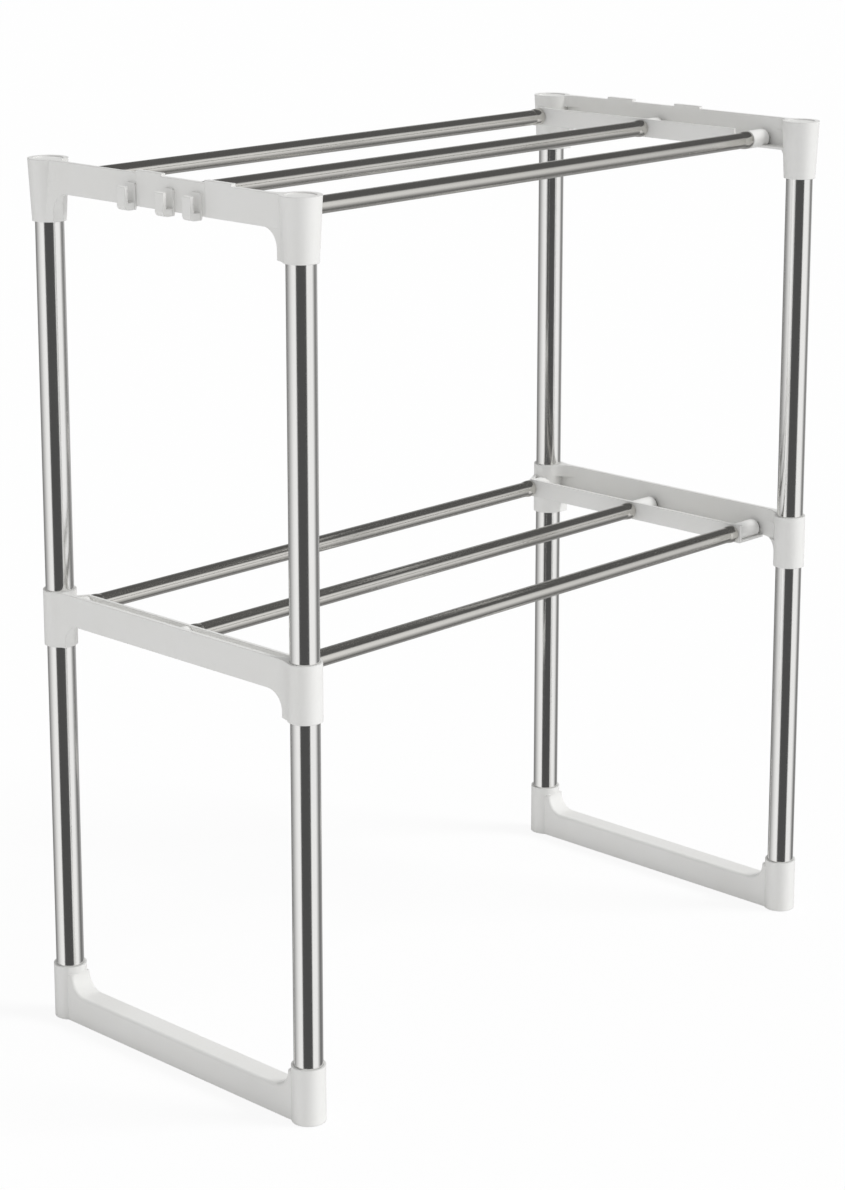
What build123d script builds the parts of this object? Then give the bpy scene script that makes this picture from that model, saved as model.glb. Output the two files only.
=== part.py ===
"""Two-tier open rack for a microwave: four tube posts, six tube rails and six moulded end brackets.

The long side runs along X, the front faces -Y and the origin is the centre of the footprint on the floor.
"""
from build123d import *
import os

os.makedirs("parts", exist_ok=True)

# ---- driving dimensions, millimetres ----
corner_height = 626  # floor to the flat tops of the upper corners
post_span_x = 520  # between post axes, along the rails
post_span_y = 248  # between post axes, front to back

post_diameter = 20
post_wall = 0.8
rail_diameter = 12
rail_wall = 0.7
rail_rows = (-88, 15, 121)  # distances of the rails from the middle, front to back

slip = 0.05  # radial clearance of everything that is pushed in by hand

# upper brackets
top_sleeve_height = 43
top_sleeve_upper_radius = 14
top_sleeve_lower_radius = 11.8
top_cap = 3
top_dish_depth = 0.8
top_dish_radius = 10.5
top_rail_below_corner = 16  # from a corner's flat top down to the axis of the upper rails
top_inner_reach = 18  # from the post plane to the face that the upper rails butt against
top_wall_height = 22
top_wall_end_gap = -20  # from the front boss to the end of the inner wall and floor; negative is short of it
top_ledge_edge = -6  # inner edge of the strip of floor that goes on under the front boss to the sleeve

# middle brackets
middle_sleeve_low = 281
middle_sleeve_height = 40
middle_stop = 3
middle_rail_below_rim = 16.5  # from the top of the middle sleeves down to the axis of the middle rails
middle_inner_reach = 25
middle_wall_height = 22
middle_wall_end_gap = 0.5

# what the upper and middle brackets share
sleeve_radius = 11.8
outer_face = 7.4
outer_wall = 3
inner_wall = 2.5
rim_above_rail = 1.2
boss_diameter = 13.4
floor_thickness = 2
arch_radius = 14
arch_start = 13.8  # from a post's axis to the upright end of an arch
arch_foot_rise = 0.5
outer_flare_radius = 30
inner_flare_radius = 18
tray_corner_back = 2  # the tray's inner corners stop this far short of the post axes
tray_tip_out = 4  # the tray's ends run into the sleeves at this distance from the post plane
tray_tip_past = 10

# feet
foot_sleeve_height = 40
foot_floor = 3
foot_beam_width = 18
foot_beam_height = 21
foot_beam_skin = 2.5
foot_edge_round = 2.2
foot_arch_radius = 13
foot_arch_rise = 14
foot_rib_rows = (-75, -25, 25, 75)
foot_rib_thickness = 2

# rail end plugs and their screws
plug_depth = 20
plug_spigot_diameter = 8
screw_diameter = 5
screw_thread_length = 26
screw_head_across_flats = 8
screw_head_height = 4

# raised panels, tabs and hooks on the outer wall of the upper brackets; the rows are those of the left one
panel_rear_edges = (23.5, -44)
panel_step = 0.6  # each panel stands this far before the one behind it
panel_front_end = -114
tab_width = 25
tab_rise = 2
hook_rows = (-36.5, -10, 28.5)
hook_width = 8
hook_pad = 1.6
hook_pad_width = 9
hook_gap = 5.4
hook_tip = 2.8
hook_drop = 2.5
hook_height = 18
hook_tip_height = 16
hook_arm = 5
hook_round = 3.6

# ---- sizes that follow from the driving ones ----
half_x = post_span_x / 2
half_y = post_span_y / 2
top_sleeve_low = corner_height - top_sleeve_height
top_rail_height = corner_height - top_rail_below_corner
middle_sleeve_high = middle_sleeve_low + middle_sleeve_height
middle_rail_height = middle_sleeve_high - middle_rail_below_rim
post_bore_radius = post_diameter / 2 + slip
middle_stop_low = (middle_sleeve_low + middle_sleeve_high - middle_stop) / 2
middle_stop_high = middle_stop_low + middle_stop
rail_bore_diameter = rail_diameter - 2 * rail_wall
top_wall_low = corner_height - top_wall_height
boss_end = outer_face - outer_wall - screw_head_height


def post(name, x, y, low, high):
    """A straight steel tube standing between two heights."""
    with BuildPart() as tube:
        with BuildSketch(Plane.XY.offset(low)):
            with Locations((x, y)):
                Circle(post_diameter / 2)
                Circle(post_diameter / 2 - post_wall, mode=Mode.SUBTRACT)
        extrude(amount=high - low)
    tube.part.label = name
    return tube.part


def rail(name, y, height, reach):
    """A steel tube running between the facing bosses of two brackets."""
    with BuildPart() as tube:
        with BuildSketch(Plane.YZ):
            with Locations((y, height)):
                Circle(rail_diameter / 2)
                Circle(rail_diameter / 2 - rail_wall, mode=Mode.SUBTRACT)
        extrude(amount=half_x - reach, both=True)
    tube.part.label = name
    return tube.part


def is_screwed(y):
    """Whether a rail is screwed through its boss; one whose boss runs into a sleeve is only pushed in."""
    return abs(y) < half_y - sleeve_radius - screw_head_across_flats / 2


def spigot_end(y):
    """Where a plug's spigot ends: at the screw's head, or at the sleeve that its boss runs into."""
    return boss_end if is_screwed(y) else -sleeve_radius


def end_plug(name, side, y, height, reach):
    """A moulded plug: a stub inside the rail end and a thinner spigot inside the bracket's boss."""
    with BuildPart() as plug:
        with BuildSketch(Plane.YZ.offset(-reach)):
            with Locations((y, height)):
                Circle(rail_bore_diameter / 2 - slip)
        extrude(amount=-plug_depth)
        with BuildSketch(Plane.YZ.offset(-reach)):
            with Locations((y, height)):
                Circle(plug_spigot_diameter / 2)
        extrude(amount=reach + spigot_end(y) - slip)
        if is_screwed(y):
            with BuildSketch(Plane.YZ.offset(boss_end)):
                with Locations((y, height)):
                    Circle(screw_diameter / 2 + slip)
            extrude(amount=-screw_thread_length, mode=Mode.SUBTRACT)
    placed = on_side(side, plug.part)
    placed.label = name
    return placed


def rail_screws(name, side, height):
    """The hexagon-headed screws that pull the rails of one bracket against its bosses."""
    with BuildPart() as screws:
        for y in filter(is_screwed, rail_rows):
            with BuildSketch(Plane.YZ.offset(boss_end)):
                with Locations((y, height)):
                    RegularPolygon(screw_head_across_flats / 2, 6, major_radius=False)
            extrude(amount=screw_head_height)
            with BuildSketch(Plane.YZ.offset(boss_end)):
                with Locations((y, height)):
                    Circle(screw_diameter / 2)
            extrude(amount=-(screw_thread_length - slip))
    placed = on_side(side, screws.part)
    placed.label = name
    return placed


def on_side(side, shape):
    """Put a piece drawn with its outer face towards +X on the right or, mirrored, on the left."""
    if side == "right":
        return Pos(half_x, 0, 0) * shape
    return mirror(Pos(half_x, 0, 0) * shape, about=Plane.YZ)


def wall_plan(level):
    """Plan of a bracket's outer wall, which flares round into a disc at each post."""
    with BuildSketch(Plane.XY.offset(level)) as plan:
        with Locations((outer_face - outer_wall / 2, 0)):
            Rectangle(outer_wall, post_span_y)
        with Locations((0, half_y), (0, -half_y)):
            Circle(sleeve_radius)
        outer_meetings = plan.vertices().filter_by(lambda v: abs(v.X - outer_face) < slip)
        fillet(outer_meetings, outer_flare_radius)
        inner_meetings = plan.vertices().filter_by(lambda v: abs(v.X - outer_face + outer_wall) < slip)
        fillet(inner_meetings, inner_flare_radius)
    return plan.sketch


def wall_side(low, high, foot_level):
    """Side view of a bracket's outer wall, arched down to both sleeves."""
    with BuildSketch(Plane.YZ) as side_view:
        with BuildLine():
            Polyline(
                (-half_y, high),
                (half_y, high),
                (half_y, foot_level),
                (half_y - arch_start, foot_level),
                (half_y - arch_start, low),
                (arch_start - half_y, low),
                (arch_start - half_y, foot_level),
                (-half_y, foot_level),
                close=True,
            )
        make_face()
        corners = side_view.vertices().filter_by(lambda v: abs(v.Y - low) < slip)
        fillet(corners, arch_radius)
    return side_view.sketch


def tray_plan(height, reach, inset):
    """Plan of the rail tray at a height, drawn in from its outline by an inset."""
    corner_y = half_y - tray_corner_back - inset / 2
    tip_y = half_y + tray_tip_past - inset
    with BuildSketch(Plane.XY.offset(height)) as plan:
        Polygon(
            (outer_face - outer_wall, -half_y),
            (outer_face - outer_wall, half_y),
            (inset - tray_tip_out, tip_y),
            (inset - reach, corner_y),
            (inset - reach, -corner_y),
            (inset - tray_tip_out, -tip_y),
            align=None,
        )
    return plan.sketch


def opened_end(height, reach, wall_end, outboard):
    """Plan of what is left out at the front end, from the inner wall to a line beside the outer one."""
    far_end = -half_y - tray_tip_past
    with BuildSketch(Plane.XY.offset(height)) as plan:
        Polygon(
            (-reach - inner_wall, far_end),
            (outboard, far_end),
            (outboard, wall_end),
            (-reach - inner_wall, wall_end),
            align=None,
        )
    return plan.sketch


def rail_circle(y, reach, rail_height, radius):
    """A circle on a rail's axis, on the face that the rails butt against."""
    with BuildSketch(Plane.YZ.offset(-reach)) as circle:
        with Locations((y, rail_height)):
            Circle(radius)
    return circle.sketch


def post_circles(height, radius):
    """One circle for each of a bracket's two posts, at a height."""
    with BuildSketch(Plane.XY.offset(height)) as circles:
        with Locations((0, half_y), (0, -half_y)):
            Circle(radius)
    return circles.sketch


def turn(side):
    """The right bracket's outer wall carries its panels and hooks end for end: -1 there, 1 on the left."""
    return -1 if side == "right" else 1


def proud_of_wall(y):
    """How far the raised panels stand out from the left bracket's outer wall at a place along it."""
    return panel_step * sum(y < edge for edge in panel_rear_edges)


def top_bracket(name, side):
    """Upper bracket: two capped, tapering sleeves joined by an arched wall with raised panels, and a tray."""
    floor_low = top_rail_height - boss_diameter / 2
    floor_top = floor_low + floor_thickness
    rim = top_rail_height + rail_diameter / 2 + rim_above_rail
    wall_end = min(rail_rows) - boss_diameter / 2 - top_wall_end_gap
    with BuildPart() as bracket:
        extrude(wall_plan(top_sleeve_low), amount=top_sleeve_height)
        arched = wall_side(top_wall_low, corner_height, top_sleeve_low + arch_foot_rise)
        extrude(arched, amount=post_diameter, both=True, mode=Mode.INTERSECT)
        extrude(tray_plan(floor_low, top_inner_reach, 0), amount=rim - floor_low)
        hollow = rim - floor_top
        extrude(tray_plan(floor_top, top_inner_reach, inner_wall), amount=hollow, mode=Mode.SUBTRACT)
        left_out = opened_end(floor_low, top_inner_reach, wall_end, top_ledge_edge)
        extrude(left_out, amount=rim - floor_low, mode=Mode.SUBTRACT)
        for y in rail_rows:
            boss = rail_circle(y, top_inner_reach, top_rail_height, boss_diameter / 2)
            extrude(boss, amount=top_inner_reach + boss_end)
        for rear_edge in panel_rear_edges:
            depth = outer_wall + proud_of_wall(rear_edge - panel_step)
            length = rear_edge - panel_front_end
            for width, rise in ((length, 0), (tab_width, tab_rise)):
                with BuildSketch(Plane.XY.offset(top_wall_low)):
                    with Locations((outer_face - outer_wall, turn(side) * (rear_edge - width / 2))):
                        Rectangle(depth, width, align=(Align.MIN, Align.CENTER))
                extrude(amount=top_wall_height + rise)
        for y in (half_y, -half_y):
            with BuildSketch(Plane.XY.offset(top_sleeve_low)):
                with Locations((0, y)):
                    Circle(top_sleeve_lower_radius)
            with BuildSketch(Plane.XY.offset(corner_height)):
                with Locations((0, y)):
                    Circle(top_sleeve_upper_radius)
            loft()
        extrude(post_circles(corner_height, top_dish_radius), amount=-top_dish_depth, mode=Mode.SUBTRACT)
        post_room = top_sleeve_height - top_cap
        extrude(post_circles(top_sleeve_low, post_bore_radius), amount=post_room, mode=Mode.SUBTRACT)
        for y in rail_rows:
            room = rail_circle(y, top_inner_reach, top_rail_height, plug_spigot_diameter / 2 + slip)
            extrude(room, amount=top_inner_reach + spigot_end(y), mode=Mode.SUBTRACT)
    placed = on_side(side, bracket.part)
    placed.label = name
    return placed


def middle_bracket(name, side):
    """Middle bracket: two open sleeves that join upper and lower posts, and the lower rail tray."""
    floor_low = middle_rail_height - boss_diameter / 2
    floor_top = floor_low + floor_thickness
    rim = middle_rail_height + rail_diameter / 2 + rim_above_rail
    wall_low = middle_sleeve_high - middle_wall_height
    wall_end = min(rail_rows) - boss_diameter / 2 - middle_wall_end_gap
    with BuildPart() as bracket:
        extrude(wall_plan(middle_sleeve_low), amount=middle_sleeve_height)
        arched = wall_side(wall_low, middle_sleeve_high, middle_sleeve_low + arch_foot_rise)
        extrude(arched, amount=post_diameter, both=True, mode=Mode.INTERSECT)
        extrude(tray_plan(floor_low, middle_inner_reach, 0), amount=rim - floor_low)
        hollow = rim - floor_top
        extrude(tray_plan(floor_top, middle_inner_reach, inner_wall), amount=hollow, mode=Mode.SUBTRACT)
        left_out = opened_end(floor_low, middle_inner_reach, wall_end, outer_face - outer_wall)
        extrude(left_out, amount=rim - floor_low, mode=Mode.SUBTRACT)
        for y in rail_rows:
            boss = rail_circle(y, middle_inner_reach, middle_rail_height, boss_diameter / 2)
            extrude(boss, amount=middle_inner_reach + boss_end)
        extrude(post_circles(middle_sleeve_low, sleeve_radius), amount=middle_sleeve_height)
        post_room = (middle_sleeve_height - middle_stop) / 2
        extrude(post_circles(middle_sleeve_low, post_bore_radius), amount=post_room, mode=Mode.SUBTRACT)
        extrude(post_circles(middle_stop_high, post_bore_radius), amount=post_room, mode=Mode.SUBTRACT)
        for y in rail_rows:
            room = rail_circle(y, middle_inner_reach, middle_rail_height, plug_spigot_diameter / 2 + slip)
            extrude(room, amount=middle_inner_reach + spigot_end(y), mode=Mode.SUBTRACT)
    placed = on_side(side, bracket.part)
    placed.label = name
    return placed


def foot(name, side):
    """Foot: two closed cups joined by a bar that lies on the floor, hollow underneath."""
    inner_end = half_y - sleeve_radius
    with BuildPart() as shoe:
        with BuildSketch(Plane.YZ) as bar_side:
            with BuildLine():
                Polyline(
                    (-half_y, 0),
                    (half_y, 0),
                    (half_y, foot_beam_height + foot_arch_rise),
                    (inner_end, foot_beam_height + foot_arch_rise),
                    (inner_end, foot_beam_height),
                    (-inner_end, foot_beam_height),
                    (-inner_end, foot_beam_height + foot_arch_rise),
                    (-half_y, foot_beam_height + foot_arch_rise),
                    close=True,
                )
            make_face()
            corners = bar_side.vertices().filter_by(lambda v: abs(v.Y - foot_beam_height) < slip)
            fillet(corners, foot_arch_radius)
        extrude(amount=foot_beam_width / 2, both=True)
        upper_edges = shoe.edges().filter_by(lambda e: e.center().Z > foot_beam_height - slip)
        long_edges = upper_edges.filter_by(lambda e: abs(abs(e.center().X) - foot_beam_width / 2) < slip)
        fillet(long_edges, foot_edge_round)
        with BuildSketch(Plane.XY):
            Rectangle(foot_beam_width - 2 * foot_beam_skin, 2 * inner_end)
        extrude(amount=foot_beam_height - foot_beam_skin, mode=Mode.SUBTRACT)
        with BuildSketch(Plane.XY.offset(foot_floor)):
            with Locations(*[(0, y) for y in foot_rib_rows]):
                Rectangle(foot_beam_width - foot_beam_skin, foot_rib_thickness)
        extrude(amount=foot_beam_height - foot_floor - foot_beam_skin / 2)
        extrude(post_circles(0, sleeve_radius), amount=foot_sleeve_height)
        cup_depth = foot_sleeve_height - foot_floor
        extrude(post_circles(foot_floor, post_bore_radius), amount=cup_depth, mode=Mode.SUBTRACT)
    placed = on_side(side, shoe.part)
    placed.label = name
    return placed


def utensil_hook(name, side, y):
    """A small J-shaped hook standing against the outer wall of an upper bracket, on its own pad."""
    bottom = top_wall_low - hook_drop
    back = outer_face + proud_of_wall(turn(side) * y)
    tip_inside = back + hook_pad + hook_gap
    tip_outside = tip_inside + hook_tip
    with BuildPart() as hook:
        with BuildSketch(Plane.XZ.offset(-y)):
            with BuildLine():
                Polyline(
                    (back, bottom),
                    (tip_outside, bottom),
                    (tip_outside, bottom + hook_tip_height),
                    (tip_inside, bottom + hook_tip_height),
                    (tip_inside, bottom + hook_arm),
                    (back, bottom + hook_arm),
                    close=True,
                )
            make_face()
        extrude(amount=hook_width / 2, both=True)
        lower_corner = hook.edges().filter_by(Axis.Y).group_by(Axis.Z)[0].sort_by(Axis.X)[-1]
        fillet(lower_corner, hook_round)
        tip_corner = hook.edges().filter_by(Axis.Y).group_by(Axis.X)[-1].sort_by(Axis.Z)[-1]
        fillet(tip_corner, hook_tip / 3)
        with BuildSketch(Plane.YZ.offset(back)):
            with Locations((y, bottom + hook_height / 2)):
                RectangleRounded(hook_pad_width, hook_height, hook_pad)
        extrude(amount=hook_pad)
    placed = on_side(side, hook.part)
    placed.label = name
    return placed


pieces = []
for side in ("left", "right"):
    pieces.append(top_bracket(f"top bracket {side}", side))
    pieces.append(middle_bracket(f"middle bracket {side}", side))
    pieces.append(foot(f"foot {side}", side))

for side, x in (("left", -half_x), ("right", half_x)):
    for place, y in (("front", -half_y), ("rear", half_y)):
        pieces.append(post(f"upper post {place} {side}", x, y, middle_stop_high, corner_height - top_cap))
        pieces.append(post(f"lower post {place} {side}", x, y, foot_floor, middle_stop_low))

tiers = (("top", top_rail_height, top_inner_reach), ("middle", middle_rail_height, middle_inner_reach))
for tier, rail_height, reach in tiers:
    for place, y in zip(("front", "centre", "rear"), rail_rows):
        pieces.append(rail(f"{tier} rail {place}", y, rail_height, reach))
        for side in ("left", "right"):
            pieces.append(end_plug(f"{tier} rail plug {place} {side}", side, y, rail_height, reach))
    for side in ("left", "right"):
        pieces.append(rail_screws(f"{tier} rail screws {side}", side, rail_height))

for side in ("left", "right"):
    for place, y in zip(("front", "centre", "rear"), sorted(turn(side) * row for row in hook_rows)):
        pieces.append(utensil_hook(f"utensil hook {place} {side}", side, y))

for piece in pieces:
    export_step(piece, f"parts/{piece.label.replace(' ', '_')}.step")
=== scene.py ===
"""Looks of the two-tier rack: polished steel tubes between satin white mouldings, in a plain white studio.

Every length is in metres. The long side runs along X, the front faces -Y and the floor is z = 0.
"""
import math

import bpy
import numpy as np
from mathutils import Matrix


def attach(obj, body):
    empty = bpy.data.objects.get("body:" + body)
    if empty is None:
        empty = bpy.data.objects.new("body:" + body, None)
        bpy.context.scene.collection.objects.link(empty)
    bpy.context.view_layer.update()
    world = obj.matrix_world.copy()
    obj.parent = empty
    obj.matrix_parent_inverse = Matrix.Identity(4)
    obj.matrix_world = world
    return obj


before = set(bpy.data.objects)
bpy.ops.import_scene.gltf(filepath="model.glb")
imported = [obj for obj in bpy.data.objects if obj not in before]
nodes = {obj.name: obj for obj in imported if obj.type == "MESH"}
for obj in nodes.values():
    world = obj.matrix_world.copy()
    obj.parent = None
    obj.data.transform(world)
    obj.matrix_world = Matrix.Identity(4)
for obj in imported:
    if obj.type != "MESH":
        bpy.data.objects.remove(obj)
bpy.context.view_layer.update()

scene = bpy.context.scene

# ---------------------------------------------------------------- camera

PHOTO_HEIGHT_PX = 1190
FOCAL_PX = 2960.2
PRINCIPAL_ABOVE_CENTRE_PX = 178
SENSOR_MM = 36
CAMERA_PLACE = (-1.5329, -1.4480, 0.8983)
CAMERA_YAW_DEG = 46.25
CAMERA_PITCH_DEG = -12.74


def make_camera():
    """A long lens at the front left, looking slightly down, with its frame lowered to hold the feet."""
    data = bpy.data.cameras.new("camera")
    data.sensor_width = SENSOR_MM
    data.lens = FOCAL_PX / PHOTO_HEIGHT_PX * SENSOR_MM
    data.shift_y = -PRINCIPAL_ABOVE_CENTRE_PX / PHOTO_HEIGHT_PX
    data.clip_start, data.clip_end = 0.05, 60
    camera = bpy.data.objects.new("camera", data)
    camera.location = CAMERA_PLACE
    camera.rotation_euler = (math.radians(90 + CAMERA_PITCH_DEG), 0, math.radians(-CAMERA_YAW_DEG))
    scene.collection.objects.link(camera)
    scene.camera = camera


# ---------------------------------------------------------------- node helpers


def add(tree, kind, inputs=None, **settings):
    """A shader node with its settings, and values or links for its inputs."""
    node = tree.nodes.new(kind)
    for key, value in settings.items():
        setattr(node, key, value)
    for key, value in (inputs or {}).items():
        if isinstance(value, bpy.types.NodeSocket):
            tree.links.new(value, node.inputs[key])
        else:
            node.inputs[key].default_value = value
    return node


def calc(tree, operation, a, b=0.0, c=0.0):
    """One Math node on values or sockets."""
    return add(tree, "ShaderNodeMath", {0: a, 1: b, 2: c}, operation=operation).outputs[0]


def ramp(tree, value, start, end, low=0.0, high=1.0):
    """A smooth step of a value from start to end, put out between low and high."""
    node = add(
        tree,
        "ShaderNodeMapRange",
        {"Value": value, "From Min": start, "From Max": end, "To Min": low, "To Max": high},
        interpolation_type="SMOOTHSTEP",
    )
    return node.outputs["Result"]


def blend_colour(tree, share, first, second):
    """Two colours mixed by a share."""
    node = add(tree, "ShaderNodeMix", {0: share, 6: first, 7: second}, data_type="RGBA")
    return node.outputs[2]


def new_group(name, inputs, outputs):
    """An empty shader node group with named sockets: (tree, group input node, group output node)."""
    tree = bpy.data.node_groups.new(name, "ShaderNodeTree")
    for title, kind, value in inputs:
        socket = tree.interface.new_socket(title, in_out="INPUT", socket_type=kind)
        if value is not None:
            socket.default_value = value
    for title, kind in outputs:
        tree.interface.new_socket(title, in_out="OUTPUT", socket_type=kind)
    return tree, tree.nodes.new("NodeGroupInput"), tree.nodes.new("NodeGroupOutput")


def noise(tree, vector, scale, detail=2.0, roughness=0.5):
    """Fractal noise around 0.5."""
    node = add(
        tree,
        "ShaderNodeTexNoise",
        {"Vector": vector, "Scale": scale, "Detail": detail, "Roughness": roughness},
    )
    return node.outputs["Fac"]


# ---------------------------------------------------------------- shared effects


def make_drawn_lines():
    """Fine lines drawn along a tube, from noise in a squeezed space in two widths, and a soft cloud."""
    tree, source, result = new_group(
        "drawn lines",
        [("Vector", "NodeSocketVector", None), ("Across", "NodeSocketFloat", 900.0)],
        [("Lines", "NodeSocketFloat"), ("Cloud", "NodeSocketFloat")],
    )
    fine = noise(tree, source.outputs["Vector"], source.outputs["Across"], 3.0, 0.6)
    wide = noise(tree, source.outputs["Vector"], calc(tree, "MULTIPLY", source.outputs["Across"], 0.22), 2.0)
    lines = calc(tree, "ADD", calc(tree, "MULTIPLY", fine, 0.6), calc(tree, "MULTIPLY", wide, 0.4))
    cloud = noise(tree, source.outputs["Vector"], 14.0, 3.0)
    tree.links.new(lines, result.inputs["Lines"])
    tree.links.new(cloud, result.inputs["Cloud"])
    return tree


def make_handling_marks():
    """Sparse hair scratches and faint finger smudges, put out as two masks."""
    tree, source, result = new_group(
        "handling marks",
        [("Vector", "NodeSocketVector", None), ("Amount", "NodeSocketFloat", 1.0)],
        [("Scratches", "NodeSocketFloat"), ("Smudges", "NodeSocketFloat")],
    )
    warp = add(tree, "ShaderNodeTexNoise", {"Vector": source.outputs["Vector"], "Scale": 22.0, "Detail": 2.0})
    bent = add(
        tree,
        "ShaderNodeVectorMath",
        {0: source.outputs["Vector"], 1: warp.outputs["Color"]},
        operation="ADD",
    )
    cells = add(
        tree,
        "ShaderNodeTexVoronoi",
        {"Vector": bent.outputs[0], "Scale": 34.0},
        feature="DISTANCE_TO_EDGE",
    )
    sparse = ramp(tree, noise(tree, source.outputs["Vector"], 31.0), 0.52, 0.66)
    hair = ramp(tree, cells.outputs["Distance"], 0.004, 0.018, 1.0, 0.0)
    scratches = calc(tree, "MULTIPLY", calc(tree, "MULTIPLY", hair, sparse), source.outputs["Amount"])
    smudge = ramp(tree, noise(tree, source.outputs["Vector"], 46.0, 4.0, 0.6), 0.5, 0.74)
    tree.links.new(scratches, result.inputs["Scratches"])
    tree.links.new(calc(tree, "MULTIPLY", smudge, source.outputs["Amount"]), result.inputs["Smudges"])
    return tree


def make_moulded_skin():
    """The fine stipple of a spark-eroded mould, the slow waves of shrinkage, and dust lying on top."""
    tree, source, result = new_group(
        "moulded skin",
        [("Vector", "NodeSocketVector", None), ("Stipple", "NodeSocketFloat", 2600.0)],
        [("Height", "NodeSocketFloat"), ("Waves", "NodeSocketFloat"), ("Dust", "NodeSocketFloat")],
    )
    stipple = noise(tree, source.outputs["Vector"], source.outputs["Stipple"], 2.0, 0.55)
    waves = noise(tree, source.outputs["Vector"], 38.0, 2.0, 0.4)
    height = calc(tree, "ADD", calc(tree, "MULTIPLY", stipple, 0.35), calc(tree, "MULTIPLY", waves, 0.65))
    level = add(tree, "ShaderNodeSeparateXYZ", {0: add(tree, "ShaderNodeNewGeometry").outputs["Normal"]})
    upward = ramp(tree, level.outputs["Z"], 0.6, 0.98)
    grains = ramp(tree, noise(tree, source.outputs["Vector"], 420.0, 3.0, 0.7), 0.54, 0.72)
    tree.links.new(height, result.inputs["Height"])
    tree.links.new(waves, result.inputs["Waves"])
    tree.links.new(calc(tree, "MULTIPLY", upward, grains), result.inputs["Dust"])
    return tree


effects = {
    "drawn": make_drawn_lines(),
    "marks": make_handling_marks(),
    "skin": make_moulded_skin(),
}


def effect(tree, name, **inputs):
    """One shared effect placed in a material, with its own values."""
    node = add(tree, "ShaderNodeGroup", node_tree=effects[name])
    for key, value in inputs.items():
        if isinstance(value, bpy.types.NodeSocket):
            tree.links.new(value, node.inputs[key])
        else:
            node.inputs[key].default_value = value
    return node.outputs


def new_material(name):
    """A material with an empty tree: (material, tree, shader)."""
    material = bpy.data.materials.new(name)
    material.use_nodes = True
    tree = material.node_tree
    tree.nodes.clear()
    shader = tree.nodes.new("ShaderNodeBsdfPrincipled")
    output = tree.nodes.new("ShaderNodeOutputMaterial")
    tree.links.new(shader.outputs[0], output.inputs["Surface"])
    return material, tree, shader


def own_place(tree, scale=(1, 1, 1)):
    """Object coordinates stretched by a Mapping node."""
    place = add(tree, "ShaderNodeTexCoord").outputs["Object"]
    return add(tree, "ShaderNodeMapping", {"Vector": place, "Scale": scale}).outputs[0]


# ---------------------------------------------------------------- materials

WHITE = (0.82, 0.82, 0.81, 1)
SMUDGE_COLOUR = (0.66, 0.64, 0.6, 1)
DUST_COLOUR = (0.62, 0.6, 0.56, 1)
SCRATCH_COLOUR = (0.6, 0.6, 0.6, 1)
BUMP_DISTANCE = 0.0001
STEEL_BUMP = 0.012
SCREW_BUMP = 0.25
PLASTIC_BUMP = 0.12
LINES_SQUEEZE = 0.012
LINES_ACROSS = 1500.0
TOOL_MARKS_SQUEEZE = 0.2
TOOL_MARKS_ACROSS = 700.0


def tube_steel(name, colour, along, roughness):
    """Polished stainless tube with lines drawn along one axis (0 = X, 2 = Z)."""
    material, tree, shader = new_material(name)
    squeeze = [1.0, 1.0, 1.0]
    squeeze[along] = LINES_SQUEEZE
    drawn = effect(tree, "drawn", Vector=own_place(tree, squeeze), Across=LINES_ACROSS)
    marks = effect(tree, "marks", Vector=own_place(tree), Amount=0.6)
    deeper = tuple(0.93 * c for c in colour[:3]) + (1,)
    tint = blend_colour(tree, drawn["Lines"], deeper, colour)
    tint = blend_colour(tree, calc(tree, "MULTIPLY", marks["Smudges"], 0.12), tint, SMUDGE_COLOUR)
    tree.links.new(tint, shader.inputs["Base Color"])
    gloss = calc(tree, "MULTIPLY_ADD", drawn["Lines"], 0.07, roughness - 0.035)
    gloss = calc(tree, "MULTIPLY_ADD", drawn["Cloud"], 0.03, gloss)
    gloss = calc(tree, "MULTIPLY_ADD", marks["Scratches"], 0.12, gloss)
    tree.links.new(gloss, shader.inputs["Roughness"])
    height = calc(tree, "MULTIPLY_ADD", marks["Scratches"], -0.5, drawn["Lines"])
    bump = add(tree, "ShaderNodeBump", {"Strength": STEEL_BUMP, "Distance": BUMP_DISTANCE, "Height": height})
    tree.links.new(bump.outputs[0], shader.inputs["Normal"])
    shader.inputs["Metallic"].default_value = 1.0
    return material


def dull_steel(name, colour):
    """Zinc-plated screw steel with short tool marks."""
    material, tree, shader = new_material(name)
    place = own_place(tree, (1, 1, TOOL_MARKS_SQUEEZE))
    drawn = effect(tree, "drawn", Vector=place, Across=TOOL_MARKS_ACROSS)
    deeper = tuple(0.7 * c for c in colour[:3]) + (1,)
    tree.links.new(blend_colour(tree, drawn["Cloud"], deeper, colour), shader.inputs["Base Color"])
    tree.links.new(calc(tree, "MULTIPLY_ADD", drawn["Lines"], 0.15, 0.3), shader.inputs["Roughness"])
    marks = {"Strength": SCREW_BUMP, "Distance": BUMP_DISTANCE, "Height": drawn["Lines"]}
    bump = add(tree, "ShaderNodeBump", marks)
    tree.links.new(bump.outputs[0], shader.inputs["Normal"])
    shader.inputs["Metallic"].default_value = 1.0
    return material


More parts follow.
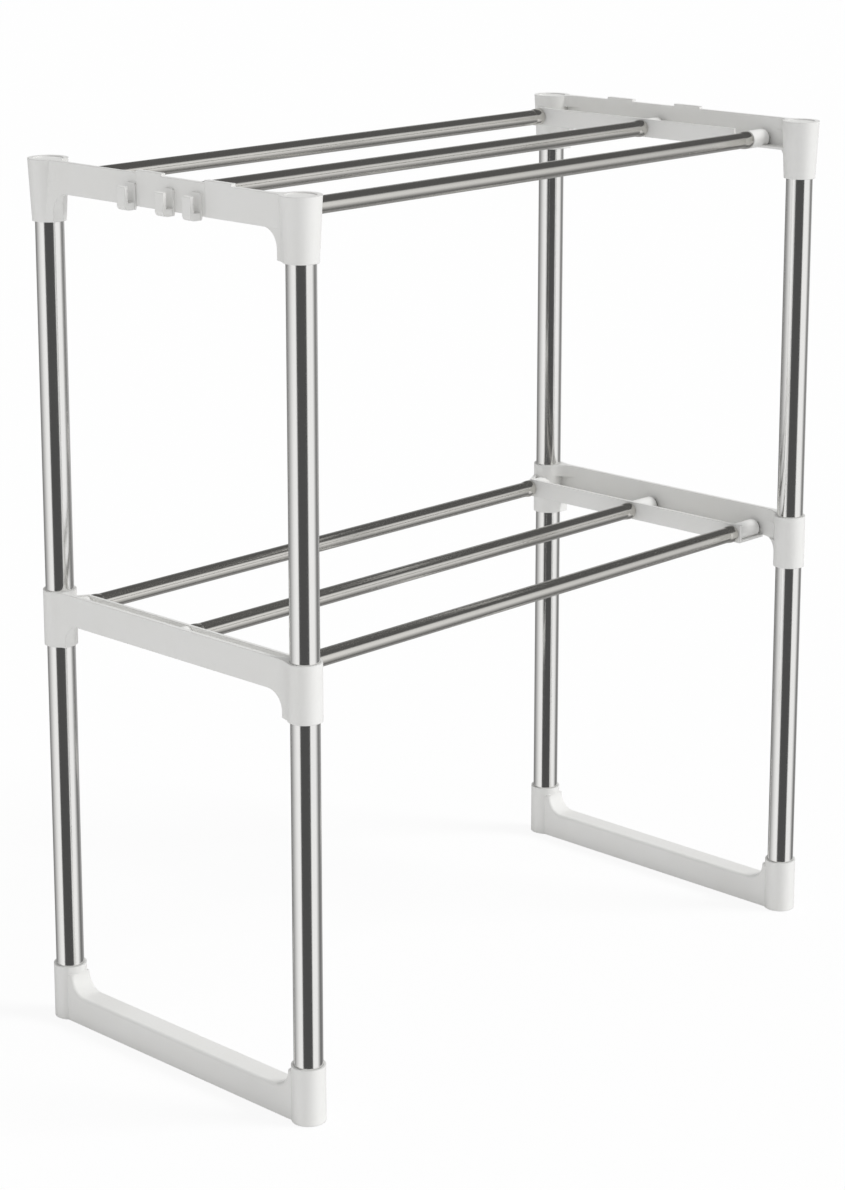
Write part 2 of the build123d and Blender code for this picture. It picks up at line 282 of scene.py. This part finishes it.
def moulded_plastic(name, colour, roughness, edge=0.0007):
    """Satin white moulding with softened edges, stipple, slow colour waves, dust and hair scratches."""
    material, tree, shader = new_material(name)
    place = own_place(tree)
    skin = effect(tree, "skin", Vector=place)
    marks = effect(tree, "marks", Vector=place, Amount=0.5)
    warmer = (colour[0] * 0.975, colour[1] * 0.97, colour[2] * 0.955, 1)
    tint = blend_colour(tree, skin["Waves"], colour, warmer)
    tint = blend_colour(tree, calc(tree, "MULTIPLY", skin["Dust"], 0.1), tint, DUST_COLOUR)
    tint = blend_colour(tree, calc(tree, "MULTIPLY", marks["Scratches"], 0.08), tint, SCRATCH_COLOUR)
    tree.links.new(tint, shader.inputs["Base Color"])
    gloss = calc(tree, "MULTIPLY_ADD", skin["Waves"], 0.08, roughness - 0.04)
    gloss = calc(tree, "MULTIPLY_ADD", marks["Smudges"], -0.06, gloss)
    gloss = calc(tree, "MULTIPLY_ADD", skin["Dust"], 0.2, gloss)
    tree.links.new(gloss, shader.inputs["Roughness"])
    soft_edge = add(tree, "ShaderNodeBevel", {"Radius": edge}, samples=4)
    height = calc(tree, "MULTIPLY_ADD", marks["Scratches"], -0.15, skin["Height"])
    bump = add(
        tree,
        "ShaderNodeBump",
        {
            "Strength": PLASTIC_BUMP,
            "Distance": BUMP_DISTANCE,
            "Height": height,
            "Normal": soft_edge.outputs[0],
        },
    )
    tree.links.new(bump.outputs[0], shader.inputs["Normal"])
    shader.inputs["Specular IOR Level"].default_value = 0.45
    return material


finishes = {
    "post": tube_steel("post steel", (0.86, 0.855, 0.84, 1), 2, 0.13),
    "rail": tube_steel("rail steel", (0.74, 0.725, 0.69, 1), 0, 0.17),
    "screws": dull_steel("screw steel", (0.42, 0.42, 0.41, 1)),
    "plug": moulded_plastic("plug plastic", WHITE, 0.42),
    "hook": moulded_plastic("hook plastic", WHITE, 0.36, 0.0005),
    "bracket": moulded_plastic("bracket plastic", WHITE, 0.38),
}


def finish_of(name):
    """The finish of a CAD node, by what its name says it is."""
    for word in ("screws", "plug", "post", "hook", "rail"):
        if word in name:
            return finishes[word]
    return finishes["bracket"]


for name, node in nodes.items():
    node.data.materials.clear()
    node.data.materials.append(finish_of(name))

# ---------------------------------------------------------------- rail ends

COLLAR_LENGTH = 0.009
COLLAR_HEIGHT = 0.0009
COLLAR_SUNK = 0.0002
COLLAR_STEPS = 96, 24


def box_of(name):
    """Lowest and highest corner of a CAD node."""
    points = np.empty(len(nodes[name].data.vertices) * 3)
    nodes[name].data.vertices.foreach_get("co", points)
    points = points.reshape(-1, 3)
    return points.min(axis=0), points.max(axis=0)


def closed_grid(name, points):
    """A mesh from points on a grid that closes on itself both ways.

    Its quads are (i, j), (i + 1, j), (i + 1, j + 1), (i, j + 1).
    """
    rows, columns = points.shape[:2]
    index = np.arange(rows * columns).reshape(rows, columns)
    down, across = np.roll(index, -1, axis=0), np.roll(index, -1, axis=1)
    quads = np.stack([index, down, np.roll(down, -1, axis=1), across], axis=-1).reshape(-1, 4)
    mesh = bpy.data.meshes.new(name)
    mesh.from_pydata(points.reshape(-1, 3).tolist(), [], quads.tolist())
    mesh.shade_smooth()
    piece = bpy.data.objects.new(name, mesh)
    scene.collection.objects.link(piece)
    return piece


def rail_collar(rail_name, end, outward):
    """The rolled lip at a rail's end, a ring whose section runs round a long, thin drop.

    With a from 0 to 2 pi round the rail and u from 0 to 2 pi round the section:
    x = x_end - outward * L / 2 * (1 - cos u),
    r = R + H * max(sin u, 0) * sqrt((1 + cos u) / 2) + S * min(sin u, 0),
    y = y_axis + r cos a, z = z_axis + outward * r sin a.
    """
    low, high = box_of(rail_name)
    middle = (low + high) / 2
    radius = (high[2] - low[2]) / 2
    around, along = COLLAR_STEPS
    a = np.linspace(0, 2 * np.pi, around, endpoint=False)[:, None]
    u = np.linspace(0, 2 * np.pi, along, endpoint=False)[None, :]
    lip = COLLAR_HEIGHT * np.maximum(np.sin(u), 0) * np.sqrt((1 + np.cos(u)) / 2)
    r = radius + lip + COLLAR_SUNK * np.minimum(np.sin(u), 0)
    x_end = high[0] if outward > 0 else low[0]
    x = x_end - outward * COLLAR_LENGTH / 2 * (1 - np.cos(u)) + 0 * a
    points = np.stack([x, middle[1] + r * np.cos(a), middle[2] + outward * r * np.sin(a)], axis=-1)
    collar = closed_grid(f"{rail_name}_collar_{end}", points)
    collar.data.materials.append(finishes["rail"])
    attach(collar, "root")


for rail_name in [name for name in nodes if name.endswith(("rail_front", "rail_centre", "rail_rear"))]:
    rail_collar(rail_name, "left", -1)
    rail_collar(rail_name, "right", 1)

# ---------------------------------------------------------------- studio

CAMERA_AZIMUTH = math.atan2(CAMERA_PLACE[1], CAMERA_PLACE[0])

# Each flag: the angle in degrees where its step starts and ends, and the level before and after it.
# The first five go by the side, round from the camera, and the last three by the height.
FRONT_FLAG = 34, 43, 0.085, 1.0
LEFT_WALL = -140, -56, 0.26, 1.0
RIGHT_WALL = 84, 114, 1.0, 0.26
BEHIND = 130, 142, 0.0, 0.25
FAR_FLOOR = 78, 90, 0.0, 1.0
CEILING = 18, 30, 1.0, 0.0
SKY = 18, 34, 0.0, 0.11
FLOOR_GREY = -30, -8, 0.3, 0.0
ROOM_LEVEL = 0.98
EVEN_LEVEL = 0.66

FLOOR_REACH = 12
FLOOR_DROP = 0.0004
FLOOR_COLOUR = (0.9, 0.9, 0.9, 1)
FLOOR_GLOW_SHARE = 0.88

KEY_AZIMUTH_DEG = 38
KEY_ELEVATION_DEG = 44
KEY_STRENGTH = 1.75
KEY_ANGLE_DEG = 20


def step(tree, angle, flag):
    """The level of one flag at an angle in radians."""
    start, end, before, after = flag
    return ramp(tree, angle, math.radians(start), math.radians(end), before, after)


def make_world():
    """White for the camera, even light for matt surfaces, and for gloss a studio with dark flags.

    The flags are written by direction: a dark upright one behind the camera, a dim ceiling, a dark one
    at the far side and a grey floor, with bright walls between them.
    """
    world = bpy.data.worlds.new("studio")
    scene.world = world
    world.use_nodes = True
    tree = world.node_tree
    tree.nodes.clear()
    direction = add(tree, "ShaderNodeSeparateXYZ", {0: add(tree, "ShaderNodeTexCoord").outputs["Generated"]})
    x, y, z = direction.outputs
    away = calc(tree, "ARCTAN2", y, x)
    turned = calc(tree, "SUBTRACT", away, CAMERA_AZIMUTH)
    side = calc(tree, "WRAP", turned, math.pi, -math.pi)
    height = calc(tree, "ARCSINE", z)
    front_flag = step(tree, calc(tree, "ABSOLUTE", side), FRONT_FLAG)
    left_wall = step(tree, side, LEFT_WALL)
    right_side = calc(tree, "ADD", step(tree, side, RIGHT_WALL), step(tree, side, BEHIND))
    walls = calc(tree, "MULTIPLY", front_flag, calc(tree, "MULTIPLY", left_wall, right_side))
    floor_grey = calc(tree, "MULTIPLY", step(tree, height, FLOOR_GREY), step(tree, side, FAR_FLOOR))
    dim = calc(tree, "SUBTRACT", 1.0, floor_grey)
    room = calc(tree, "MULTIPLY", calc(tree, "MULTIPLY", walls, step(tree, height, CEILING)), dim)
    studio = calc(tree, "MULTIPLY_ADD", room, ROOM_LEVEL, step(tree, height, SKY))
    light = add(tree, "ShaderNodeLightPath")
    even = add(tree, "ShaderNodeBackground", {"Color": (1, 1, 1, 1), "Strength": EVEN_LEVEL})
    flags = add(tree, "ShaderNodeBackground", {"Color": (1, 1, 1, 1), "Strength": studio})
    plain = add(tree, "ShaderNodeBackground", {"Color": (1, 1, 1, 1), "Strength": 1.0})
    for_gloss = light.outputs["Is Glossy Ray"]
    for_camera = light.outputs["Is Camera Ray"]
    gloss = add(tree, "ShaderNodeMixShader", {0: for_gloss, 1: even.outputs[0], 2: flags.outputs[0]})
    seen = add(tree, "ShaderNodeMixShader", {0: for_camera, 1: gloss.outputs[0], 2: plain.outputs[0]})
    output = tree.nodes.new("ShaderNodeOutputWorld")
    tree.links.new(seen.outputs[0], output.inputs["Surface"])


def make_floor():
    """A wide pale floor that keeps a faint shadow, clear from below: a flat sheet of 3 by 3 points."""
    span = np.linspace(-FLOOR_REACH, FLOOR_REACH, 3)
    across, along = np.meshgrid(span, span)
    points = np.stack([across.ravel(), along.ravel(), np.full(across.size, -FLOOR_DROP)], axis=1)
    corner = np.array([[row * 3 + column for column in range(2)] for row in range(2)]).ravel()
    faces = np.stack([corner, corner + 1, corner + 4, corner + 3], axis=1)
    mesh = bpy.data.meshes.new("floor")
    mesh.from_pydata(points.tolist(), [], faces.tolist())
    floor = bpy.data.objects.new("floor", mesh)
    scene.collection.objects.link(floor)
    material = bpy.data.materials.new("floor")
    material.use_nodes = True
    tree = material.node_tree
    tree.nodes.clear()
    light = add(tree, "ShaderNodeLightPath")
    matt = add(tree, "ShaderNodeBsdfDiffuse", {"Color": FLOOR_COLOUR})
    glow = add(tree, "ShaderNodeEmission", {"Color": (1, 1, 1, 1), "Strength": 1.0})
    share = calc(tree, "MULTIPLY", light.outputs["Is Camera Ray"], FLOOR_GLOW_SHARE)
    both = add(tree, "ShaderNodeMixShader", {0: share, 1: matt.outputs[0], 2: glow.outputs[0]})
    below = add(tree, "ShaderNodeNewGeometry").outputs["Backfacing"]
    clear = add(tree, "ShaderNodeBsdfTransparent")
    sheet = add(tree, "ShaderNodeMixShader", {0: below, 1: both.outputs[0], 2: clear.outputs[0]})
    output = tree.nodes.new("ShaderNodeOutputMaterial")
    tree.links.new(sheet.outputs[0], output.inputs["Surface"])
    mesh.materials.append(material)
    floor.visible_glossy = False


def make_lamp(name, azimuth, elevation, strength, angle):
    """A soft sun shining from an azimuth (0 = from the front, 90 = from the right) and an elevation."""
    data = bpy.data.lights.new(name, "SUN")
    data.energy = strength
    data.angle = math.radians(angle)
    lamp = bpy.data.objects.new(name, data)
    lamp.rotation_euler = (math.radians(90 - elevation), 0, math.radians(azimuth))
    lamp.visible_glossy = False
    scene.collection.objects.link(lamp)


make_camera()
make_world()
make_floor()
make_lamp("key light", KEY_AZIMUTH_DEG, KEY_ELEVATION_DEG, KEY_STRENGTH, KEY_ANGLE_DEG)

scene.view_settings.view_transform = "Standard"
